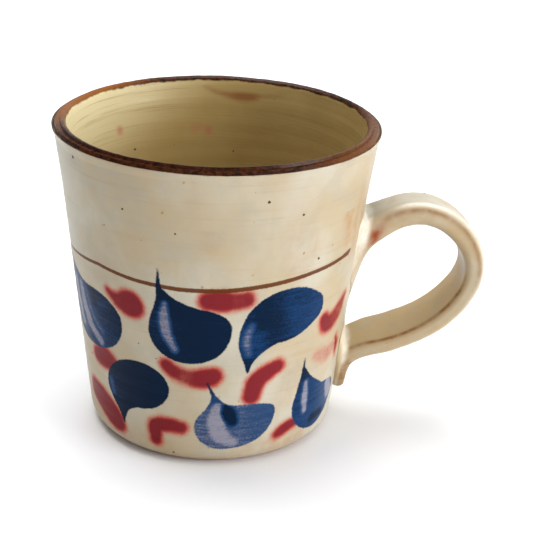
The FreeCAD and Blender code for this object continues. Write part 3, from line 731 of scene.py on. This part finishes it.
def loop_at(out, rise):
    """A place on the loop: shares of the strap's reach out from the wall, and of the way up between its roots."""
    height = LOWER_ROOT + rise * (UPPER_ROOT - LOWER_ROOT)
    return wall_at(height) + out * STRAP_REACH, height


def off_wall(height, stand):
    """A place that stands this far off the wall."""
    return wall_at(height) + stand, height


tail_end = LOWER_ROOT - TAIL_LENGTH - TAIL_THICK / 2
# Place, width, thickness and twist in degrees, from the upper root over the top and down to the tail.
STRAP = [
    (off_wall(UPPER_ROOT - 1.3, -2.6), ROOT_WIDTH, ROOT_THICK, -3),
    (off_wall(UPPER_ROOT - 0.6, -NECK_WALL / 3), ROOT_WIDTH, ROOT_THICK, -4),
    (off_wall(UPPER_ROOT, 0.8), ROOT_WIDTH, ROOT_THICK, -5),
    (loop_at(0.19, 1.078), GRIP_WIDTH, (ROOT_THICK + CREST_THICK) / 2, -7),
    (loop_at(0.44, 1.155), GRIP_WIDTH, CREST_THICK, -8),
    (loop_at(0.772, 1.048), GRIP_WIDTH, CREST_THICK, -6),
    (loop_at(1.00, 0.730), GRIP_WIDTH, BEND_THICK, -1),
    (loop_at(0.886, 0.402), GRIP_WIDTH, (BEND_THICK + LOW_THICK) / 2, -2),
    (loop_at(0.594, 0.182), GRIP_WIDTH, LOW_THICK, -4),
    (loop_at(0.290, 0.072), GRIP_WIDTH, LOW_THICK, -4),
    (off_wall(LOWER_ROOT + 0.2, 4.0), (GRIP_WIDTH + TAIL_WIDTH) / 2, LOW_THICK, -2),
    (off_wall(LOWER_ROOT - 0.42 * TAIL_LENGTH, TAIL_STAND + 0.3), TAIL_WIDTH, (LOW_THICK + TAIL_THICK) / 2, 0),
    (off_wall(LOWER_ROOT - 0.72 * TAIL_LENGTH, TAIL_STAND), TAIL_WIDTH, TAIL_THICK, 0),
    (off_wall(tail_end, TAIL_STAND - 0.3), TAIL_WIDTH - 1.5, TAIL_THICK, 0),
]
strap_knots = np.array([[radius, height, width, thick, twist] for (radius, height), width, thick, twist in STRAP])
strap_stops = np.concatenate([[0], np.cumsum(np.hypot(*np.diff(strap_knots[:, :2], axis=0).T))])
strap_length = strap_stops[-1]


def through(knots, stops, wanted):
    """Rows of numbers carried in one smooth bend through the knots, which stand at the stops."""
    gaps = np.diff(stops)
    system = np.eye(len(stops))
    pull = np.zeros_like(knots)
    for index in range(1, len(stops) - 1):
        system[index, index - 1 : index + 2] = gaps[index - 1], 2 * (gaps[index - 1] + gaps[index]), gaps[index]
        slope = (knots[index + 1] - knots[index]) / gaps[index]
        pull[index] = 6 * (slope - (knots[index] - knots[index - 1]) / gaps[index - 1])
    bend = np.linalg.solve(system, pull)
    cell = np.clip(np.searchsorted(stops, wanted, side="right") - 1, 0, len(gaps) - 1)
    gap = gaps[cell][:, None]
    ahead = (stops[cell + 1] - wanted)[:, None]
    behind = (wanted - stops[cell])[:, None]
    curve = (bend[cell] * ahead**3 + bend[cell + 1] * behind**3) / (6 * gap)
    first = (knots[cell] / gap - bend[cell] * gap / 6) * ahead
    return curve + first + (knots[cell + 1] / gap - bend[cell + 1] * gap / 6) * behind


def pulled_strap(name, coat, steps_round, steps_along, start, stop):
    """A run of the strap under a coat: its mesh, points, normals, and each point's place on the strap."""
    build = bmesh.new()
    bmesh.ops.create_grid(build, x_segments=steps_round, y_segments=steps_along, size=1.0)
    mesh = mesh_from(build, name)
    flat = places_of(mesh) / 1000
    round_share = (flat[:, 0] + 1) * 2 + 1e-9
    along = start + (flat[:, 1] + 1) / 2 * (stop - start)
    rows = through(strap_knots, strap_stops, along)
    ahead = through(strap_knots, strap_stops, np.minimum(along + 0.05, strap_length))
    heading = (ahead - through(strap_knots, strap_stops, np.maximum(along - 0.05, 0)))[:, :2]
    heading /= np.hypot(*heading.T)[:, None]
    # half the width and depth, rounded off at the tail's end
    end = np.clip(1 - (strap_length - along) / TIP_RUN, 0, 1)
    tip = np.sqrt(np.clip(1 - end**2, 0, 1))
    half_wide = rows[:, 2] / 2 + coat - 1.2 * (1 - tip)
    half_deep = (rows[:, 3] / 2 + coat) * (0.25 + 0.75 * tip)
    corner = np.minimum(EDGE_ROUND * rows[:, 3] + coat, half_deep * 0.95)
    # round the section: half a broad face, a rounded edge, a side, and so on in four quarters
    quarter = np.floor(round_share).astype(int) % 4
    within = round_share - np.floor(round_share)
    from_face = quarter % 2 == 0
    begin = np.where(from_face, FACE_SHARE, SIDE_SHARE)
    finish_by = np.where(from_face, SIDE_SHARE, FACE_SHARE)
    arc = np.clip((within - begin) / (1 - begin - finish_by), 0, 1) * math.pi / 2
    swing = np.where(from_face, arc, math.pi / 2 - arc)
    first = np.clip(within / begin, 0, 1)
    last = 1 - np.clip((within - 1 + finish_by) / finish_by, 0, 1)
    side_sign = np.where((quarter == 0) | (quarter == 1), -1.0, 1.0)
    face_sign = np.where((quarter == 0) | (quarter == 3), 1.0, -1.0)
    across = side_sign * ((half_wide - corner) * np.where(from_face, first, last) + corner * np.sin(swing))
    outward = face_sign * ((half_deep - corner) * np.where(from_face, last, first) + corner * np.cos(swing))
    lean_across = side_sign * np.sin(swing)
    lean_out = face_sign * np.cos(swing)
    # the trough the fingers leave down the outer face, and a rib at each shoulder
    grip = eased(along, 6, 16) * eased(strap_length - along, 10, 20)
    trough = np.exp(-((across / (0.42 * half_wide)) ** 2)) * (face_sign > 0)
    rib = np.exp(-(((np.abs(across) - half_wide + 1.3) / 0.9) ** 2)) * (lean_out > 0.2)
    outward = outward - grip * (TROUGH_DEPTH * trough - RIB_HEIGHT * rib)
    twist = np.radians(rows[:, 4])
    turn_by = np.array([[np.cos(twist), -np.sin(twist)], [np.sin(twist), np.cos(twist)]])
    side, out = np.einsum("ijn,jn->in", turn_by, np.stack([across, outward]))
    side_lean, out_lean = np.einsum("ijn,jn->in", turn_by, np.stack([lean_across, lean_out]))
    places = np.stack([rows[:, 0] - heading[:, 1] * out, side, rows[:, 1] + heading[:, 0] * out], axis=1)
    normals = np.stack([-heading[:, 1] * out_lean, side_lean, heading[:, 0] * out_lean], axis=1)
    hug = TAIL_HUG * eased(along, strap_length - 15, strap_length - 9)
    places[:, 0] -= hug * side**2 / (2 * wall_at(places[:, 2]))
    where = {"along": along, "across": across / half_wide, "outward": outward / np.maximum(half_deep, 0.1)}
    return mesh, places, normals, {**where, "lean_across": lean_across, "lean_out": lean_out}


def closed_up(mesh):
    """Join the strap's seam, close its two ends, and put it in the scene."""
    build = bmesh.new()
    build.from_mesh(mesh)
    bmesh.ops.remove_doubles(build, verts=build.verts, dist=1e-5)
    bmesh.ops.holes_fill(build, edges=[edge for edge in build.edges if edge.is_boundary])
    bmesh.ops.recalc_face_normals(build, faces=build.faces)
    build.to_mesh(mesh)
    build.free()
    mesh.polygons.foreach_set("use_smooth", [True] * len(mesh.polygons))
    return placed(mesh.name, mesh)


core_mesh, places, normals, where = pulled_strap("clay_strap", 0.0, 48, 160, 0, strap_length)
put_back(core_mesh, places - normals * 0.15)
core = closed_up(core_mesh)
core_mesh.materials.append(clay)
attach(core, "root")
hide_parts("handle")

# ------------------------ the slip at the strap's roots
# Wet clay wiped round both roots joins the strap to the cup: a tongue down the wall under the upper root,
# a fillet in the lower crotch. It is the same clay, and its shape is seen through the glaze on it.
UNDER_FLARE, UNDER_REACH = 20.0, 7.0  # down the wall under the upper root
CROTCH_FLARE, CROTCH_REACH = 10.0, 4.0  # up the wall in the lower crotch
SIDE_FLARE, SIDE_REACH = 4.0, 3.2
OVER_FLARE, OVER_REACH = 1.8, 2.4
FEATHER = 3.4  # how fast the slip thins towards its edge


def wiped_on(places, where):
    """Points of the strap spread along the wall where it meets it, and how far each stands off the wall."""
    stand = np.hypot(places[:, 0], places[:, 1]) - wall_at(places[:, 2])
    reaches = (UNDER_REACH, CROTCH_REACH, SIDE_REACH, OVER_REACH)
    near_wall = {reach: np.clip(1 - stand / reach, 0, 1) ** FEATHER for reach in reaches}
    upper = eased(strap_length / 2 - where["along"], 0, 5)
    on_tail = eased(strap_length - where["along"], 3, 8)
    under = eased(-where["lean_out"], -0.2, 0.5)
    tongue = UNDER_FLARE * near_wall[UNDER_REACH] * under * (1 - 0.7 * where["across"] ** 2)
    crotch = CROTCH_FLARE * near_wall[CROTCH_REACH] * under * on_tail
    rise = upper * (OVER_FLARE * near_wall[OVER_REACH] * (1 - under) - tongue) + (1 - upper) * crotch
    beside = SIDE_FLARE * near_wall[SIDE_REACH] * eased(np.abs(where["lean_across"]), 0.1, 0.8)
    moved = places.copy()
    moved[:, 1] += np.sign(where["across"]) * beside * (upper + (1 - upper) * on_tail)
    moved[:, 2] += rise
    moved[:, :2] *= ((wall_at(moved[:, 2]) + stand) / np.hypot(moved[:, 0], moved[:, 1]))[:, None]
    return moved, stand


for name, start, stop in (("upper_slip", 1.5, 11.0), ("lower_slip", strap_length - 19.0, strap_length - 7.0)):
    slip_mesh, places, normals, where = pulled_strap("clay_" + name, 0.0, 48, 32, start, stop)
    put_back(slip_mesh, wiped_on(places, where)[0] - normals * 0.08)
    slip = closed_up(slip_mesh)
    slip_mesh.materials.append(clay)
    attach(slip, "root")
    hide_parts(name)

# ------------------------ the glaze on the strap
# One skin of clear glaze covers the strap and the slip at its roots, and runs into the wall's.
# It is thin over the edges, where iron breaks through brown. A pale line along the outer shoulder is a painted
# highlight;
# tan on the strap's sides is painted shade, and a warm pale tone on the lower arm's inner face is painted light.
STRAP_SIDE_SHADE = "#B09874"
STRAP_PALE_AND_HIGHLIGHT = "#DCD7C8"
STRAP_BROWN = "#7C5228"
STRAP_RUST = "#8C4326"
STRAP_LIT_INNER = "#DCC79A"

skin_mesh, places, normals, where = pulled_strap("handle_glaze_coat", COAT, 96, 300, 0, strap_length)
along, across, outward = where["along"], where["across"], where["outward"]
lean_across, lean_out = where["lean_across"], where["lean_out"]
places, stand = wiped_on(places, where)
upper = eased(strap_length / 2 - along, 0, 5)
uneven = np.array([noise.noise(Vector(spot) / 5.0) + 0.5 * noise.noise(Vector(spot) / 1.8) for spot in places])
places += normals * (0.10 * uneven - 0.10)[:, None]
put_back(skin_mesh, places)

near = eased(-lean_across, 0.35, 0.95)
inner = eased(-lean_out, 0.3, 0.9)
late = eased(along, 0.42 * strap_length, 0.52 * strap_length)
bend = np.exp(-(((along - 0.5 * strap_length) / 13) ** 2))
# painted shade: the strap's sides are laid tan, less over the bend, and the inner face a little
sides = near + eased(lean_across, 0.35, 0.95)
carry(skin_mesh, "tan", np.clip(0.8 * sides * (1 - 0.75 * bend) + 0.15 * inner, 0, 1))
# painted highlight: a pale line along the near outer shoulder; the same colour near the wall is glaze pooled pale at
# the roots
highlight_ridge = np.exp(-(((across + 0.86) / 0.10) ** 2)) * eased(lean_out, 0.2, 0.8) * eased(stand, 5, 12)
blobs = eased(3.2 - stand, 0, 1.6) * (1 - eased(-outward, 0.2, 0.9) * upper)
carry(skin_mesh, "pale_and_painted_light", np.clip(highlight_ridge + 0.9 * blobs * eased(strap_length - along, 7, 10), 0, 1))
under_ridge = np.exp(-(((outward - 0.42) / 0.26) ** 2)) * near * eased(stand, 4, 8) * (1 - late)
inner_edge = np.exp(-((lean_across + 0.50) ** 2 + (lean_out + 0.86) ** 2) / 0.20)
inner_edge *= late * eased(strap_length - along, 9, 13)
tail_face = eased(11 - (strap_length - along), 0, 2) * eased(outward, -0.3, 0.3)
carry(skin_mesh, "brown", np.clip(0.65 * under_ridge + 1.0 * inner_edge + 0.8 * tail_face, 0, 1))
# painted light: a paler warm tone on the inner face of the lower arm, which faces up into the light
carry(skin_mesh, "warm", 0.8 * inner * late)
rust = np.exp(-(((stand - 4.2) / 1.8) ** 2)) * near * upper * eased(-outward, -0.6, 0.2)
carry(skin_mesh, "rust", rust)

strap_glaze, tree, place = new_material("clear_glaze_breaking_brown")
tone, relief = cream_ground(tree, place)
blotch = node(tree, "TexNoise", {"Vector": place, "Scale": 240, "Detail": 4, "Roughness": 0.6})
broken = node(tree, "MapRange", {0: blotch, 1: 0.28, 2: 0.66, 3: 0.45, 4: 1.0}, **SOFT_STEP)
layers = {"tan": STRAP_SIDE_SHADE, "warm": STRAP_LIT_INNER, "brown": STRAP_BROWN, "rust": STRAP_RUST, "pale_and_painted_light": STRAP_PALE_AND_HIGHLIGHT}
for layer, colour in layers.items():
    share = node(tree, "Attribute", {}, "Fac", attribute_name=layer)
    share = node(tree, "Math", {0: share, 1: broken}, operation="MULTIPLY")
    tone = node(tree, "Mix", {0: share, 6: tone, 7: colour}, **COLOURS)
finish(tree, tone, relief, 0.00014, WALL_GLOSS)
skin = closed_up(skin_mesh)
skin_mesh.materials.append(strap_glaze)
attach(skin, "root")
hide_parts("handle_glaze")

# ------------------------ the brown lip
# The lip is wiped with iron oxide before the glaze goes on: it fires dark brown, and breaks to amber on the right
# side.
# On the left towards the back the amber is painted light. Its lower edge wanders, and the glaze stands glossy on it.
IRON_BROWN = "#46220F"
IRON_DARK = "#1E0C04"
IRON_AMBER = "#824E1E"
LIP_OUT = 2.25  # mm from the middle of the lip to the brown's outer edge, over the curve
LIP_IN = 2.3
LIP_SOFT = 3.0  # rounding where the wall turns into the lip

lip_side = [(seam_out, BAND_EDGE, 0), (LIP_RADIUS, TOP - LIP_DEPTH, LIP_SOFT), (LIP_RADIUS, TOP, LIP_ROUND)]
lip_loop = rounded(lip_side + [(mouth, TOP, LIP_ROUND), (seam_in, BAND_EDGE, 0)], 0.30)
LIP_BED = (1.0, 0.8)  # the lip's hidden back, in from its sides and down from its top
lip_back = [Vector((seam_in + GLAZE_BACK, BAND_EDGE)), Vector((mouth + LIP_BED[0], TOP - LIP_BED[1]))]
lip_back += [Vector((LIP_RADIUS - LIP_BED[0], TOP - LIP_BED[1])), Vector((LIP_RADIUS - GLAZE_BACK, TOP - LIP_DEPTH))]
lip_back += [Vector((seam_out - GLAZE_BACK, BAND_EDGE))]
lip = turned("rim_band_coat", lip_loop, lip_back, STEPS_ROUND)
still = places_of(lip.data)
inwards = (LIP_RADIUS + mouth) / 2 - np.hypot(still[:, 0], still[:, 1])
carry(lip.data, "over_lip", np.sign(inwards) * np.hypot(inwards, TOP - still[:, 2]))
put_back(lip.data, hand_thrown(still))

iron, tree, place = new_material("iron_oxide_under_glaze")
tone = cream_ground(tree, place)[0]
over = node(tree, "Attribute", {}, "Fac", attribute_name="over_lip")
wander = node(tree, "TexNoise", {"Vector": place, "Scale": 260, "Detail": 5, "Roughness": 0.65})
mottle = node(tree, "TexNoise", {"Vector": place, "Scale": 700, "Detail": 4, "Roughness": 0.65})
moved = node(tree, "Math", {0: wander, 1: 1.1, 2: over}, operation="MULTIPLY_ADD")
from_out = node(tree, "MapRange", {0: moved, 1: 0.30 - LIP_OUT, 2: 0.75 - LIP_OUT}, **SOFT_STEP)
from_in = node(tree, "MapRange", {0: moved, 1: 0.75 + LIP_IN, 2: 0.35 + LIP_IN}, **SOFT_STEP)
covered = node(tree, "Math", {0: from_out, 1: from_in}, operation="MULTIPLY")
inward = node(tree, "MapRange", {0: over, 1: -0.2, 2: 0.4}, **SOFT_STEP)
deep = node(tree, "MapRange", {0: mottle, 1: 0.36, 2: 0.62}, **SOFT_STEP)
# painted light: amber on the left towards the back, where the light falls on the lip's top and inner side
lit_side = node(tree, "VectorMath", {0: place, 1: (-0.90, 0.42, 0.0)}, "Value", operation="DOT_PRODUCT")
lit_side = node(tree, "Math", {0: wander, 1: 0.012, 2: lit_side}, operation="MULTIPLY_ADD")
thin_and_lit = node(tree, "MapRange", {0: lit_side, 1: 0.034, 2: 0.049, 4: 0.95}, **SOFT_STEP)
lit_inner_share = node(tree, "MapRange", {0: over, 1: -1.9, 2: -0.4, 3: 0.35}, **SOFT_STEP)
thin_and_lit = node(tree, "Math", {0: thin_and_lit, 1: lit_inner_share}, operation="MULTIPLY")
rightward = node(tree, "VectorMath", {0: place, 1: (0.95, -0.30, 0.0)}, "Value", operation="DOT_PRODUCT")
reddish = node(tree, "MapRange", {0: rightward, 1: 0.030, 2: 0.044, 4: 0.45}, **SOFT_STEP)
brown = node(tree, "Mix", {0: deep, 6: IRON_DARK, 7: IRON_BROWN}, **COLOURS)
for share in (reddish, thin_and_lit):
    brown = node(tree, "Mix", {0: share, 6: brown, 7: IRON_AMBER}, **COLOURS)
tone = node(tree, "Mix", {0: inward, 6: tone, 7: pooled_ground(tree, place)[0]}, **COLOURS)
tone = node(tree, "Mix", {0: covered, 6: tone, 7: brown}, **COLOURS)
finish(tree, tone, mottle, 0.00018, {"Roughness": 0.16, "Specular IOR Level": 0.12})
lip.data.materials.append(iron)
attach(lip, "root")
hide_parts("rim_band")

# ------------------------ the end
bpy.context.view_layer.update()
